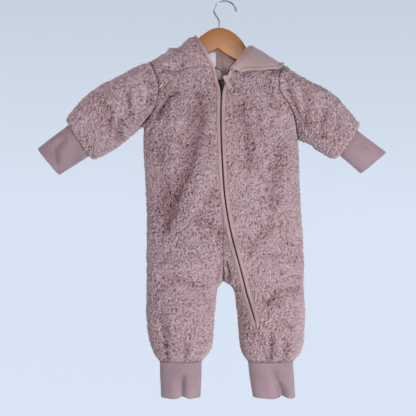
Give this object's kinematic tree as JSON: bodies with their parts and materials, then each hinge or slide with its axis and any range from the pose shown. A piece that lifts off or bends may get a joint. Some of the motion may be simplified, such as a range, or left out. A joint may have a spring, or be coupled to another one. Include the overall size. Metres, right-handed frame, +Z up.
{
  "type": "hooded onesie on a wooden hanger",
  "caption": "Baby's hooded onesie in curly pile cloth with a slanting front zip, jersey cuffs and bindings, hanging on a wooden hanger with a wire hook.",
  "frame": {"origin": "inside top of the hanger's wire hook, where it hangs on a rail or wall hook", "axes": "+Z up, the front of the garment faces -Y, +X towards the wearer's left"},
  "size_m": [0.5548, 0.1016, 0.6327],
  "materials": {
    "pile_cloth": "matte",
    "jersey": "matte",
    "zip_tape": "matte",
    "dark_metal": "satin",
    "label_cloth": "matte",
    "wood": "satin",
    "steel_wire": "satin"
  },
  "bodies": {
    "garment": {"ankle_cuff_left": "jersey", "ankle_cuff_right": "jersey", "back_left": "pile_cloth", "back_right": "pile_cloth", "edge_binding_left": "jersey", "edge_binding_right": "jersey", "front_gore": "pile_cloth", "front_left": "pile_cloth", "front_right": "pile_cloth", "hanger_bar": "wood", "hanger_hook": "steel_wire", "hood_left": "pile_cloth", "hood_lining_left": "jersey", "hood_lining_right": "jersey", "hood_right": "pile_cloth", "lapel_binding": "jersey", "neck_label": "label_cloth", "sleeve_left": "pile_cloth", "sleeve_right": "pile_cloth", "wrist_cuff_left": "jersey", "wrist_cuff_right": "jersey", "zip": "zip_tape", "zip_guard": "jersey", "zip_slider": "dark_metal"},
    "zip_pull": {"zip_link": "dark_metal", "zip_pull_tab": "jersey"}
  },
  "joints": [
    {"name": "zip_pull_hinge", "type": "hinge", "parent": "garment", "child": "zip_pull", "pos_m": [-0.00477, -0.03205, -0.134], "axis": [1, 0, 0], "range_deg": [-40, 25]}
  ]
}
